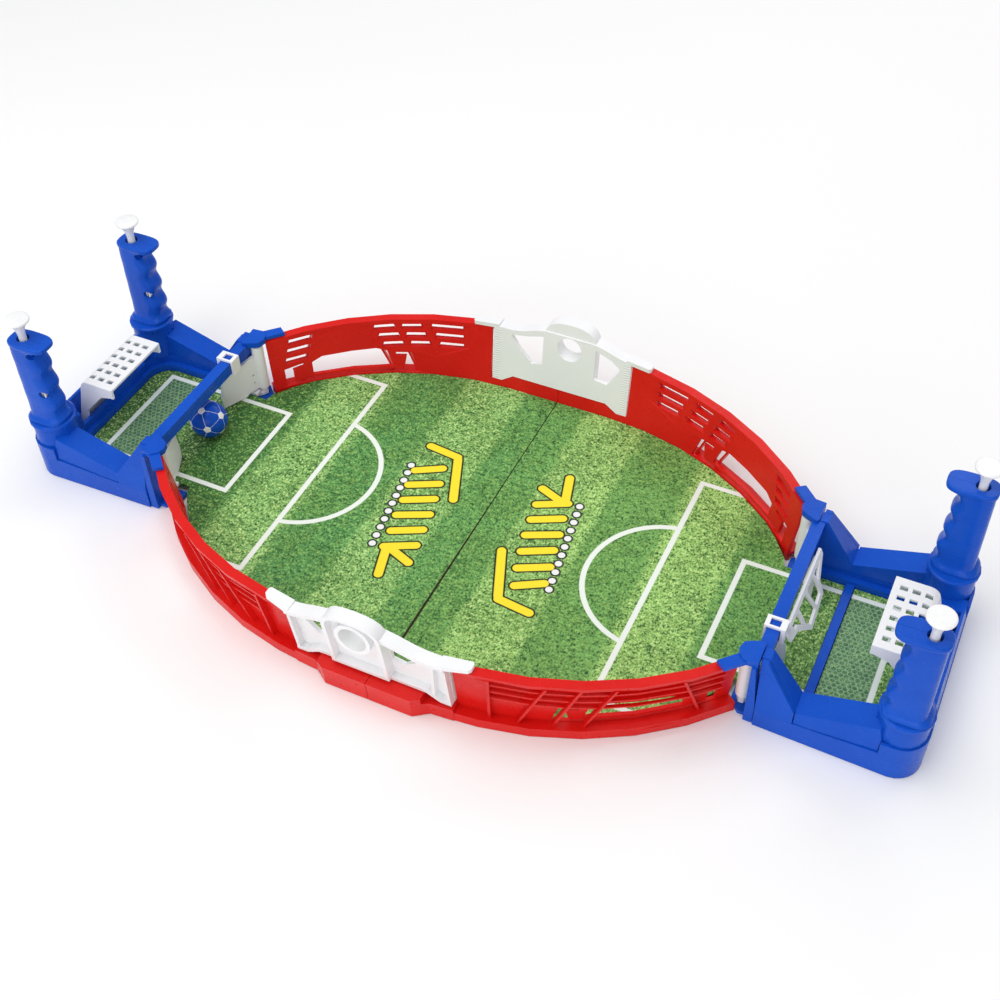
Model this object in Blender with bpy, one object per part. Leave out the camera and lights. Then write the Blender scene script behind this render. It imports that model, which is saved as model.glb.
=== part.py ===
"""Table-top football game: two players' ends with push-button grips and flippers, a fenced pitch and a ball.

The long side lies along X, the players stand at -X (left end) and +X (right end), +Z is up and the
origin is at the bottom centre. Every size below is in millimetres; place() turns it into metres.
One end is drawn once, as the right end, and turned half a turn about Z for the left end. One corner
of an end is drawn once, at +Y, and mirrored for the other corner.
"""

import math

import bmesh
import bpy
from mathutils import Matrix, Vector

MM = 0.001
GAP = 0.3

# Fence: an arc about (FENCE_X, -FENCE_Y) from the centre piece to the goal post.
FENCE_X = 31.9
FENCE_Y = 60.1
FENCE_R = 172.5
FENCE_END = 50.0
FENCE_THICK = 2.0
FENCE_FOOT = 6.0
LEAN = 5.0 / 38.0
RIM_HIGH = 46.0
RIM_LOW = 41.0
RIM_WIDE = 5.4
RIM_THICK = 2.6
SKIRT_WIDE = 8.0
SKIRT_HIGH = 6.4
STRIP_HIGH = 14.7
CENTRE_FENCE_HALF = 44.7
STATION = 50.0 / 6

# Pitch and goal floor
TURF_Z = 6.0
BOARD_THICK = 2.4
MOUTH_HALF = 41.2
BOARD_END = 199.2
BAR_X = (199.5, 204.2)
BAR_TOP = 8.0
GOAL_FLOOR_END = 242.9

# End: outer outline, arms, tower and back channel
END_FRONT = 181.0
END_FRONT_HALF = 60.5
END_BACK = 262.5
END_HALF = 62.5
END_CORNER = 14.0
ARM_INNER = 45.0
LEDGE_INNER = 41.5
LEDGE_TOP = 10.0
SEAM_Z = 15.2
WALL = 2.2
BACK_INNER = 246.0
CHANNEL = (248.4, 259.6)
CHANNEL_FLOOR = 8.0
COVER_BACK_TOP = 25.0
GRIP_X = 250.0
GRIP_Y = 50.0
COLLAR_Z = 38.6
COLLAR_R = 13.5

# Crossbar and goal posts
CROSSBAR_X = (174.9, 181.6)
CROSSBAR_Z = (35.4, 43.0)
POST_TOP = 43.6

# Grip
GRIP_BOTTOM = COLLAR_Z + GAP
PLATE_Z = (91.8, 95.0)
BORE_R = 5.8
GUIDE_R = 3.1
CHAMBER = (50.0, 80.0)
LEDGE_R = 3.4
POCKET_FLOOR = 84.0
POCKET_R = 3.7
SCREW_X = 242.0
SCREW_Z = 61.0
SPARE_Z = 88.4

# Button and the parts that it drives
TRAVEL = 7.0
BUTTON_TOP = 108.6
DISC_R = 6.9
STEM_R = 3.2
NECK_R = 2.2
CRANK_AXIS = (239.0, 15.0)
CRANK_TILT = math.radians(20.5)
CRANK_LONG = 10.0
CRANK_SHORT = 8.57
ROLLER_R = 1.3
FLIPPER_AXIS = (172.0, 50.0)
FLIPPER_REACH = 28.6
FLIPPER_REST = math.radians(24.8)
FLIPPER_SWING = math.radians(60.0)
PIN_REACH = 6.0
STUD_R = 1.5
CRANK_PIN_R = 1.2
ROD_Z = (5.2, 7.8)

BALL_R = 11.3
BALL_AT = (-179.0, 2.0, TURF_Z + GAP + BALL_R)


def colour(name, rgb, roughness, metallic=0.0):
    """One Principled material."""
    material = bpy.data.materials.new(name)
    material.use_nodes = True
    shader = material.node_tree.nodes["Principled BSDF"]
    shader.inputs["Base Color"].default_value = (*rgb, 1.0)
    shader.inputs["Roughness"].default_value = roughness
    shader.inputs["Metallic"].default_value = metallic
    material.diffuse_color = (*rgb, 1.0)
    return material


for leftover in list(bpy.data.objects):
    bpy.data.objects.remove(leftover)
GAME = bpy.data.collections.new("table_football_game")
bpy.context.scene.collection.children.link(GAME)
BLUE = colour("blue_plastic", (0.02, 0.10, 0.72), 0.28)
RED = colour("red_plastic", (0.78, 0.03, 0.02), 0.30)
WHITE = colour("white_plastic", (0.86, 0.86, 0.87), 0.32)
TURF = colour("printed_turf", (0.09, 0.24, 0.03), 0.75)
STEEL = colour("steel", (0.62, 0.62, 0.64), 0.30, 1.0)


# Modelling tools. Shapes stay in millimetres until place().


def shape(work, name="shape"):
    """A loose object from a finished bmesh."""
    mesh = bpy.data.meshes.new(name)
    work.to_mesh(mesh)
    work.free()
    made = bpy.data.objects.new(name, mesh)
    GAME.objects.link(made)
    return made


def box(x, y, z):
    """A box between three pairs of limits."""
    work = bmesh.new()
    size = [span[1] - span[0] for span in (x, y, z)]
    middle = [(span[1] + span[0]) / 2 for span in (x, y, z)]
    matrix = Matrix.Translation(middle) @ Matrix.Diagonal((*size, 1.0))
    bmesh.ops.create_cube(work, size=1.0, matrix=matrix)
    return shape(work)


def rod(axis, centre, radius, span, sides=16):
    """A cylinder along Y or Z: centre is its place across the axis, span its limits along it."""
    work = bmesh.new()
    low, high = span
    middle = (low + high) / 2
    if axis == "y":
        matrix = Matrix.Translation((centre[0], middle, centre[1])) @ Matrix.Rotation(-math.pi / 2, 4, "X")
    else:
        matrix = Matrix.Translation((centre[0], centre[1], middle))
    bmesh.ops.create_cone(
        work, cap_ends=True, segments=sides, radius1=radius, radius2=radius, depth=high - low, matrix=matrix
    )
    return shape(work)


def plate(outlines, span):
    """A flat plate in XY between two heights. The first outline is its edge and the others are holes."""
    curve = bpy.data.curves.new("outline", "CURVE")
    curve.dimensions = "2D"
    curve.fill_mode = "BOTH"
    curve.extrude = (span[1] - span[0]) / 2
    for outline in outlines:
        spline = curve.splines.new("POLY")
        spline.points.add(len(outline) - 1)
        for point, (x, y) in zip(spline.points, outline):
            point.co = (x, y, 0.0, 1.0)
        spline.use_cyclic_u = True
    drawn = bpy.data.objects.new("outline", curve)
    GAME.objects.link(drawn)
    bpy.context.view_layer.update()
    mesh = bpy.data.meshes.new_from_object(drawn.evaluated_get(bpy.context.evaluated_depsgraph_get()))
    bpy.data.objects.remove(drawn)
    work = bmesh.new()
    work.from_mesh(mesh)
    bmesh.ops.remove_doubles(work, verts=work.verts, dist=0.001)
    bmesh.ops.translate(work, verts=work.verts, vec=(0, 0, (span[0] + span[1]) / 2))
    bmesh.ops.recalc_face_normals(work, faces=work.faces)
    return shape(work)


def hull(points):
    """The convex solid round some corner points."""
    work = bmesh.new()
    for point in points:
        work.verts.new(point)
    bmesh.ops.convex_hull(work, input=work.verts)
    bmesh.ops.dissolve_limit(work, angle_limit=0.01, verts=work.verts, edges=work.edges)
    bmesh.ops.recalc_face_normals(work, faces=work.faces)
    return shape(work)


def turned(profile, centre, sides):
    """A solid of revolution about Z: profile is (radius, z) from the top centre down to the bottom centre."""
    work = bmesh.new()
    points = [work.verts.new((radius, 0.0, z)) for radius, z in profile]
    edges = [work.edges.new(pair) for pair in zip(points, points[1:])]
    full = 2 * math.pi
    geometry = points + edges
    bmesh.ops.spin(work, geom=geometry, cent=(0, 0, 0), axis=(0, 0, 1), angle=full, steps=sides, use_merge=True)
    bmesh.ops.remove_doubles(work, verts=work.verts, dist=0.001)
    bmesh.ops.recalc_face_normals(work, faces=work.faces)
    bmesh.ops.translate(work, verts=work.verts, vec=(centre[0], centre[1], 0))
    return shape(work)


def loft(rings):
    """A closed solid through rings of equally many points."""
    work = bmesh.new()
    rows = [[work.verts.new(point) for point in ring] for ring in rings]
    for low, high in zip(rows, rows[1:]):
        for i in range(len(low)):
            j = (i + 1) % len(low)
            work.faces.new((low[i], low[j], high[j], high[i]))
    work.faces.new(rows[0][::-1])
    work.faces.new(rows[-1])
    bmesh.ops.recalc_face_normals(work, faces=work.faces)
    return shape(work)


def combine(target, tools, operation):
    """Joins tools to the target, or cuts them from it, one after another."""
    for tool in tools:
        step = target.modifiers.new("step", "BOOLEAN")
        step.operation = operation
        step.solver = "EXACT"
        step.object = tool
        bpy.context.view_layer.update()
        mesh = bpy.data.meshes.new_from_object(target.evaluated_get(bpy.context.evaluated_depsgraph_get()))
        target.modifiers.clear()
        target.data = mesh
        bpy.data.objects.remove(tool)
    return target


def join(target, *tools):
    return combine(target, tools, "UNION")


def cut(target, *tools):
    return combine(target, tools, "DIFFERENCE")


def transformed(target, matrix):
    """Moves the mesh itself, and turns its faces out again after a mirror."""
    target.data.transform(matrix)
    if matrix.determinant() < 0:
        target.data.flip_normals()
    return target


def mirrored(target, side):
    """The piece at the +Y corner (side 1) or its mirror image at the -Y corner (side -1)."""
    return transformed(target, Matrix.Diagonal((1, side, 1, 1)))


def tidy(target):
    """Merges the faces of each flat again, and the points that a cut left on top of each other."""
    work = bmesh.new()
    work.from_mesh(target.data)
    bmesh.ops.remove_doubles(work, verts=work.verts, dist=0.002)
    bmesh.ops.dissolve_degenerate(work, edges=work.edges, dist=0.002)
    bmesh.ops.dissolve_limit(work, angle_limit=math.radians(0.5), verts=work.verts, edges=work.edges)
    work.to_mesh(target.data)
    work.free()


def place(target, name, material, end=None, pivot=(0, 0, 0)):
    """Names a finished piece and puts it at its end, with its origin at the pivot of its joint."""
    tidy(target)
    turn = end["turn"] if end else Matrix()
    centre = turn @ Vector(pivot)
    target.data.transform(Matrix.Scale(MM, 4) @ Matrix.Translation(-centre) @ turn)
    target.location = centre * MM
    target.name = name
    target.data.name = name
    target.data.materials.clear()
    target.data.materials.append(material)
    target.data.shade_smooth()
    target.data.set_sharp_from_angle(angle=math.radians(32))
    if end:
        target.parent = end["empty"]


def arc(centre, radius, start, stop, steps):
    """Points of an arc in XY, angles in degrees."""
    angles = [math.radians(start + (stop - start) * i / steps) for i in range(steps + 1)]
    return [(centre[0] + radius * math.cos(a), centre[1] + radius * math.sin(a)) for a in angles]


def rounded(x, y, radius, steps=4):
    """A rectangle with round corners."""
    left, right = x[0] + radius, x[1] - radius
    low, high = y[0] + radius, y[1] - radius
    corners = [(right, high, 0), (left, high, 90), (left, low, 180), (right, low, 270)]
    return [p for cx, cy, start in corners for p in arc((cx, cy), radius, start, start + 90, steps)]


# Fence. A fence piece is drawn flat, as (distance along the fence, height), and then wrapped on its curve.


def fence_angle(degrees):
    """Distance along the fence of an angle on its arc."""
    return FENCE_R * math.radians(degrees)


def rim_z(along):
    """Height of the fence's rim, which falls towards the goal."""
    share = (along - fence_angle(8)) / fence_angle(FENCE_END - 8)
    return RIM_HIGH - (RIM_HIGH - RIM_LOW) * min(max(share, 0.0), 1.0)


def fence_point(along, height, out):
    """The place in space of a point of the flat fence drawing: straight past the centre, then round the arc."""
    out += LEAN * max(height - FENCE_FOOT, 0.0)
    angle = max(along, 0.0) / FENCE_R
    x = FENCE_X + min(along, 0.0) + (FENCE_R + out) * math.sin(angle)
    y = -FENCE_Y + (FENCE_R + out) * math.cos(angle)
    return Vector((x, y, height))


def wrap(flat):
    """Cuts a flat fence drawing (along, height, out) at even stations and bends it on to the fence's curve."""
    work = bmesh.new()
    work.from_mesh(flat.data)
    for i in range(6):
        geometry = work.verts[:] + work.edges[:] + work.faces[:]
        along = fence_angle(STATION * i)
        bmesh.ops.bisect_plane(work, geom=geometry, dist=0.0005, plane_co=(along, 0, 0), plane_no=(1, 0, 0))
    geometry = work.verts[:] + work.edges[:] + work.faces[:]
    bmesh.ops.bisect_plane(work, geom=geometry, dist=0.0005, plane_co=(0, FENCE_FOOT, 0), plane_no=(0, 1, 0))
    for vert in work.verts:
        vert.co = fence_point(vert.co.x, vert.co.y, vert.co.z)
    bmesh.ops.recalc_face_normals(work, faces=work.faces)
    work.to_mesh(flat.data)
    work.free()
    return flat


def slot(start, stop, drop, tall, slant=1.2):
    """A slanted horizontal slot of the fence, given by its angles and its depth below the rim."""
    low = [(fence_angle(start) + slant, drop + tall), (fence_angle(stop) + slant, drop + tall)]
    high = [(fence_angle(stop), drop), (fence_angle(start), drop)]
    return [(along, rim_z(along) - deep) for along, deep in low + high]


def rib(start, stop, drop, wide):
    """A horizontal rib on the outside of the fence."""
    ends = [fence_angle(start), fence_angle(stop)]
    low = [(along, rim_z(along) - drop - wide) for along in ends]
    high = [(along, rim_z(along) - drop) for along in reversed(ends)]
    return plate([low + high], (FENCE_THICK - 0.5, FENCE_THICK + 2.1))


def slanted_rib(top, bottom, wide=1.4):
    """A rib from the rim down to the skirt."""
    head = fence_angle(top)
    foot = fence_angle(bottom)
    drawing = [(foot, SKIRT_HIGH - 0.6), (foot + wide, SKIRT_HIGH - 0.6)]
    drawing += [(head + wide, rim_z(head) - 1.0), (head, rim_z(head) - 1.0)]
    return plate([drawing], (FENCE_THICK - 0.7, FENCE_THICK + 3.4))


def bench_openings():
    """The window over a bench-shaped bar, and the slit that runs round the bar's ends and under it."""
    window = [(25.0, 10.8), (41.6, 10.8), (41.6, 19.6), (39.4, 22.6), (28.4, 24.0), (26.2, 22.2)]
    slit = [(19.8, 6.9), (47.4, 6.9), (47.4, 18.6), (43.4, 20.2), (43.4, 18.0), (45.6, 17.0), (45.6, 9.0)]
    slit += [(22.8, 9.0), (22.2, 18.2), (24.4, 18.2), (24.4, 20.8), (21.2, 20.8)]
    return [[(fence_angle(a), z) for a, z in outline] for outline in (window, slit)]


def fence_quarter():
    """One red fence quarter: the leaning wall, its low strip under the centre fence, rim, skirt and ribs."""
    start = CENTRE_FENCE_HALF + GAP - FENCE_X
    middle = 0.15 - FENCE_X
    end = fence_angle(FENCE_END)
    stop = fence_angle(8)
    outline = [(middle, 0), (end, 0), (end, RIM_LOW - 0.6), (stop, RIM_HIGH - 0.6), (start, RIM_HIGH - 0.6)]
    outline += [(start, 9.8), (start - 7.2, 9.8), (start - 14.6, STRIP_HIGH), (middle, STRIP_HIGH)]
    wall = plate([outline], (0.0, FENCE_THICK))
    rim = [(start, RIM_HIGH - RIM_THICK), (stop, RIM_HIGH - RIM_THICK), (end, RIM_LOW - RIM_THICK)]
    rim += [(end, RIM_LOW), (stop, RIM_HIGH), (start, RIM_HIGH)]
    skirt = (-6.0, end)
    extras = [plate([rim], (0.0, RIM_WIDE)), centre_block(middle)]
    extras.append(box(skirt, (SKIRT_HIGH - 2.0, SKIRT_HIGH), (FENCE_THICK - 0.6, SKIRT_WIDE)))
    extras.append(box(skirt, (0.0, SKIRT_HIGH - 0.5), (SKIRT_WIDE - 1.8, SKIRT_WIDE)))
    extras += [rib(RIB_FROM, RIB_TO, drop, 1.2) for drop in RIB_DROPS]
    extras += [slanted_rib(top, bottom) for top, bottom in SLANTED_RIBS]
    # A ledge inside carries the pitch board.
    extras.append(box((middle, fence_angle(44)), (0.4, 3.2), (-4.0, 0.5)))
    join(wall, *extras)
    openings = [slot(a, b, drop, 3.7) for drop, cuts in SLOT_ROWS for a, b in cuts] + bench_openings()
    through = (-1.0, FENCE_THICK + 0.3)
    return wrap(cut(wall, *[plate([opening], through) for opening in openings]))


SLOT_ROWS = [
    (3.1, [(10.0, 16.6), (18.4, 22.6), (24.0, 28.2), (40.6, 45.4)]),
    (9.3, [(10.0, 15.8), (17.6, 21.8), (23.2, 27.4), (41.2, 46.0)]),
    (15.5, [(10.0, 15.0), (16.8, 21.0), (22.4, 26.6), (41.8, 46.6)]),
]
RIB_FROM = 10.4
RIB_TO = 47.6
RIB_DROPS = (7.6, 13.8, 20.0)
SLANTED_RIBS = [(10.2, 9.8), (19.2, 14.3), (24.5, 19.9), (29.9, 24.8), (39.9, 43.8)]


def centre_block(middle):
    """Half of the hollow block at the middle of the side, under the centre fence, drawn flat like the fence."""
    tall = [(middle, 1.0), (-2.4, 1.0), (-2.4, 11.2), (-6.9, 14.2), (middle, 14.2)]
    low = [(-4.0, 1.0), (13.1, 1.0), (13.1, SKIRT_WIDE + 0.4), (1.1, 8.9), (-4.0, 12.0)]
    block = join(plate([tall], (0.0, STRIP_HIGH - 0.3)), plate([low], (0.2, STRIP_HIGH - 5.3)))
    block = cut(block, box((middle - 5, -9.0), (FENCE_THICK, 12.4), (-1.0, STRIP_HIGH - 2.0)))
    return transformed(block, SWAP_YZ)


SWAP_YZ = Matrix(((1, 0, 0, 0), (0, 0, 1, 0), (0, 1, 0, 0), (0, 0, 0, 1)))


# Centre fence


def centre_wrapped(outlines, out):
    """A drawing of the centre fence, as (x, height), leaned like the red fence."""
    flat = plate(outlines, out)
    for vert in flat.data.vertices:
        x, z, thick = vert.co
        vert.co = (x, FENCE_R - FENCE_Y + thick + LEAN * (z - FENCE_FOOT), z)
    flat.data.flip_normals()
    return flat


def rail_line(x):
    """Height of the white top rail: level at its ends, rising to the boss."""
    reach = abs(x - BOSS_X)
    share = min(max((38.0 - reach) / 24.0, 0.0), 1.0)
    return 47.6 + 5.6 * share * share * (3 - 2 * share)


BOSS_X = 4.9
BOSS_Z = 44.8
BOSS_HOLE_R = 7.8
BOSS_RING_R = 10.2
BOSS_HALF = 16.4
BOSS_SHOULDER = 50.0
BOSS_RISE = 11.2
# Outline of the tab that laps over the red rim
TAB = [(41.3, 118.0), (56.2, 115.6), (57.2, 116.7), (57.2, 120.0), (56.0, 121.5), (44.4, 124.9), (41.3, 124.9)]


def boss_outline(inset, foot):
    """The boss: straight sides and a domed top with full shoulders."""
    points = [(BOSS_X - BOSS_HALF + inset, foot), (BOSS_X + BOSS_HALF - inset, foot)]
    for i in range(11):
        angle = math.pi * i / 10
        c, s = math.cos(angle), math.sin(angle)
        across = math.copysign(abs(c) ** 0.8, c) * (BOSS_HALF - inset)
        points.append((BOSS_X + across, BOSS_SHOULDER + abs(s) ** 0.8 * (BOSS_RISE - inset)))
    return points


def centre_fence():
    """One white centre fence: plate with windows, rail, boss with a barrel and through hole, foot and end tabs."""
    half = CENTRE_FENCE_HALF - GAP
    xs = [-half + 2 * half * i / 16 for i in range(17)]
    foot = [(-half, 10.1), (-38.0, 10.1), (-30.6, 15.0), (30.6, 15.0), (38.0, 10.1), (half, 10.1)]
    outline = foot + [(x, rail_line(x)) for x in reversed(xs)]
    left = [(-18.8, 28.2), (-11.9, 29.6), (-11.9, 49.2), (-22.0, 46.4), (-33.2, 44.2), (-27.0, 36.0)]
    right = [(21.7, 29.4), (30.2, 28.2), (37.0, 38.6), (37.4, 41.4), (32.0, 45.6), (21.7, 49.4)]
    wall = centre_wrapped([outline, left, right], (0.0, 2.4))
    edge = half - 0.1
    stations = [x * (edge - 0.05) / half for x in xs]
    rail = [(x, rail_line(x) - 3.2) for x in stations] + [(x, rail_line(x) + 0.15) for x in reversed(stations)]
    lip = [(-edge, 10.2), (-38.1, 10.2), (-30.7, 15.1), (30.7, 15.1), (38.1, 10.2), (edge, 10.2)]
    lip += [(edge, 12.4), (38.9, 12.4), (31.5, 17.6), (-31.5, 17.6), (-38.9, 12.4), (-edge, 12.4)]
    parts = [centre_wrapped([rail], (2.0, 7.4)), centre_wrapped([lip], (2.0, 6.4))]
    for side in (-1, 1):
        low, high = sorted((side * (edge - 0.1), side * (edge - 2.0)))
        parts.append(centre_wrapped([[(low, 11.0), (high, 11.0), (high, 46.0), (low, 46.0)]], (1.9, 6.2)))
        tab = [(side * x, y) for x, y in TAB]
        parts.append(plate([tab[::side]], (RIM_HIGH + GAP, RIM_HIGH + 2.9)))
    brace = [(-half + 9.0, 13.8), (-half + 10.8, 13.8), (-half + 8.4, 45.4), (-half + 6.6, 45.4)]
    parts.append(centre_wrapped([brace], (1.7, 5.8)))
    parts.append(centre_wrapped([boss_outline(0.0, 16.2)], (0.7, 8.6)))
    middle = FENCE_R - FENCE_Y + LEAN * (BOSS_Z - FENCE_FOOT)
    wall = join(wall, *parts)
    wall = cut(wall, centre_wrapped([boss_outline(2.2, 18.8)], (4.2, 12.0)))
    wall = join(wall, rod("y", (BOSS_X, BOSS_Z), BOSS_RING_R, (middle + 2.0, middle + 8.4), 24))
    return cut(wall, rod("y", (BOSS_X, BOSS_Z), BOSS_HOLE_R, (middle - 9, middle + 16), 24))


# Pitch


def pitch_board():
    """Half of the printed pitch, from the centre line through the goal mouth to the floor bar."""
    edge = [fence_point(fence_angle(STATION * i), 0, -GAP) for i in range(6)]
    edge.append(fence_point(fence_angle(46), 0, -1.2))
    side = [(0.15, FENCE_R - FENCE_Y - GAP)] + [(p.x, p.y) for p in edge]
    side += [(164.0, 46.6), (165.2, MOUTH_HALF), (BOARD_END, MOUTH_HALF)]
    outline = side + [(x, -y) for x, y in reversed(side)]
    return plate([outline[::-1]], (TURF_Z - BOARD_THICK, TURF_Z))


def goal_floor():
    """The printed floor behind the floor bar."""
    front = BAR_X[1] + GAP
    back = GOAL_FLOOR_END
    half = LEDGE_INNER - GAP
    radius = 13.0
    outline = [(front, -half)] + arc((back - radius, -half + radius), radius, 270, 360, 5)
    outline += arc((back - radius, half - radius), radius, 0, 90, 5) + [(front, half)]
    return plate([outline], (TURF_Z - BOARD_THICK, TURF_Z))


# End shells


def end_outline(inset, front):
    """Outer outline of an end, drawn in by an inset."""
    radius = END_CORNER - inset
    side = arc((END_BACK - END_CORNER, END_HALF - END_CORNER), radius, 0, 88, 6)
    side.append((front, END_FRONT_HALF - inset))
    return [(x, -y) for x, y in reversed(side)] + side


def bay_outline(half, back, radius, front):
    """Outline of the open bay between the arms."""
    side = arc((back - radius, half - radius), radius, 0, 90, 5)
    side.append((front, half))
    return [(x, -y) for x, y in reversed(side)] + side


def seam_z(x):
    """Height of the seam between the two shells of an arm. It falls towards the goal post."""
    return SEAM_Z - SEAM_SLOPE * max(SEAM_TURN - x, 0.0)


SEAM_TURN = 240.7
SEAM_SLOPE = 0.072
TOWER_SEAM = 23.0


def corner_lip(outer, inner, start_x, start_y, span):
    """A band that follows the outer corner of an end, from the arm's side round to the back."""
    centre = (END_BACK - END_CORNER, END_HALF - END_CORNER)
    points = [(END_BACK + outer, start_y)] + arc(centre, END_CORNER + outer, 0, 90, 6)
    points += [(start_x, END_HALF + outer), (start_x, END_HALF - inner)]
    points += arc(centre, END_CORNER - inner, 90, 0, 6) + [(END_BACK - inner, start_y)]
    return plate([points], span)


def post_side(out, x):
    """The plane between the inner part of a goal post and its outer skin, as a solid on the inner side."""
    points = [(x[0], 40, 0), (x[1], 40, 0), (x[0], 40, 45), (x[1], 40, 45)]
    for z, y in ((0, 57.8), (19.4, 57.8), (45, 52.0)):
        points += [(x[0], y + out, z), (x[1], y + out, z)]
    return hull(points)


def end_base():
    """Lower shell: arms with their cavities, floor of the goal, floor bar, back channel and outer post skins."""
    shell = plate([end_outline(0.0, END_FRONT)], (0.0, SEAM_Z))
    outer = [(END_BACK - END_CORNER, END_HALF - END_CORNER), END_CORNER - WALL]
    rest = arc(*outer, 0, 88, 4) + [(END_FRONT + WALL, END_FRONT_HALF - WALL)]
    cutters = [
        plate([bay_outline(LEDGE_INNER, 243.2, 13.0, 150.0)], (3.3, 40.0)),
        plate([bay_outline(ARM_INNER, BACK_INNER, 14.0, 150.0)], (LEDGE_TOP, 40.0)),
        box((150.0, 196.0), (-LEDGE_INNER, LEDGE_INNER), (-5.0, 40.0)),
        box(CHANNEL, (-35.0, 35.0), (CHANNEL_FLOOR, 40.0)),
    ]
    for side in (-1, 1):
        lower = [(END_FRONT + WALL, 43.7), (240.0, 43.7), (243.0, 39.0)] + rest
        upper = [(END_FRONT + WALL, ARM_INNER + WALL), (240.0, ARM_INNER + WALL), (247.0, 40.5)] + rest
        slope = [(150, seam_z(150)), (SEAM_TURN, SEAM_Z), (150, 30), (SEAM_TURN, 30)]
        wedge = [(x, y, z) for y in (43, 70) for x, z in slope]
        cutters.append(mirrored(plate([lower], (1.8, LEDGE_TOP - 1.6)), side))
        cutters.append(mirrored(plate([upper], (LEDGE_TOP - 1.7, 40.0)), side))
        cutters.append(mirrored(box((178.0, 186.0), (42.0, 47.8), (4.4, 8.6)), side))
        cutters.append(mirrored(hull(wedge), side))
    shell = cut(shell, *cutters)
    extras = [box(BAR_X, (-LEDGE_INNER - 0.5, LEDGE_INNER + 0.5), (2.4, BAR_TOP))]
    for side in (-1, 1):
        skin = [(181, 55.0, 8), (181, 60.5, 8), (199.8, 55.0, 8), (199.8, 61.0, 8), (181, 60.5, 14)]
        skin += [(199.8, 61.0, 12), (199.8, 55.0, 19.4), (199.8, 60.2, 19.4), (179.4, 50.4, 43.4)]
        skin += [(182.6, 50.4, 43.4), (179.4, 55.2, 43.4), (182.6, 55.2, 43.4)]
        skin = cut(hull(skin), post_side(0.3, (150, 230)))
        extras.append(mirrored(skin, side))
        extras.append(mirrored(corner_lip(0.0, 1.8, 242.0, 38.0, (13.0, TOWER_SEAM)), side))
        # Two sleepers carry the push rod.
        for x in (206.0, 224.0):
            extras.append(mirrored(box((x, x + 1.6), (43.4, 58.6), (1.5, ROD_Z[0] - GAP)), side))
    return join(shell, *extras)


def arm_cover(side):
    """The sloped hollow top of one arm with the inner part of the goal post."""
    low = 8.0
    solid = [(197.5, 45.2, low), (197.5, 61.1, low), (246, 45.2, low), (246, 62.0, low)]
    solid += [(199.0, 45.2, 18.6), (199.0, 59.4, 18.6)]
    solid += [(240, 45.2, 30.6), (240, 60.2, 30.6), (246, 45.2, 30.6)]
    hollow = [(203.0, 47.2, 0), (203.0, 59.0, 0), (243, 47.2, 0), (243, 60.0, 0)]
    hollow += [(203.0, 47.2, 17.2), (203.0, 57.4, 17.2), (243, 47.2, 28.4), (243, 58.2, 28.4)]
    post = [(181, 45.2, low), (181, 58, low), (199.8, 45.2, low), (199.8, 58, low), (199.8, 45.2, 19.2)]
    post += [(199.8, 58, 19.2), (178.6, 45.8, POST_TOP), (183.0, 45.8, POST_TOP)]
    post += [(178.6, 54, POST_TOP), (183.0, 54, POST_TOP)]
    post = combine(hull(post), [post_side(0.0, (150, 230))], "INTERSECT")
    skin = [(190.0, 57.8, 0), (200.4, 57.8, 0), (200.4, 64, 0), (190.0, 64, 0)]
    skin += [(190.0, 57.8, 30), (200.2, 57.8, 30), (200.2, 64, 30), (190.0, 64, 30)]
    made = join(cut(hull(solid), hull(hollow), hull(skin)), post)
    under = [(150, 0), (270, 0), (150, seam_z(150) + GAP), (SEAM_TURN, SEAM_Z + GAP), (270, SEAM_Z + GAP)]
    return mirrored(cut(made, hull([(x, y, z) for x, z in under for y in (40, 70)])), side)


def tower(side):
    """The socket of a grip: a cone with a collar, bored for the button's stem."""
    low = SEAM_Z + GAP
    profile = [(0, COLLAR_Z), (12.6, COLLAR_Z), (COLLAR_R, COLLAR_Z - 0.8), (COLLAR_R, 36.2), (12.8, 35.4)]
    profile += [(12.2, 34.8), (12.6, 26.0), (12.8, low), (0, low)]
    return mirrored(turned(profile, (GRIP_X - 1.2, GRIP_Y - 1.2), 18), side)


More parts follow.
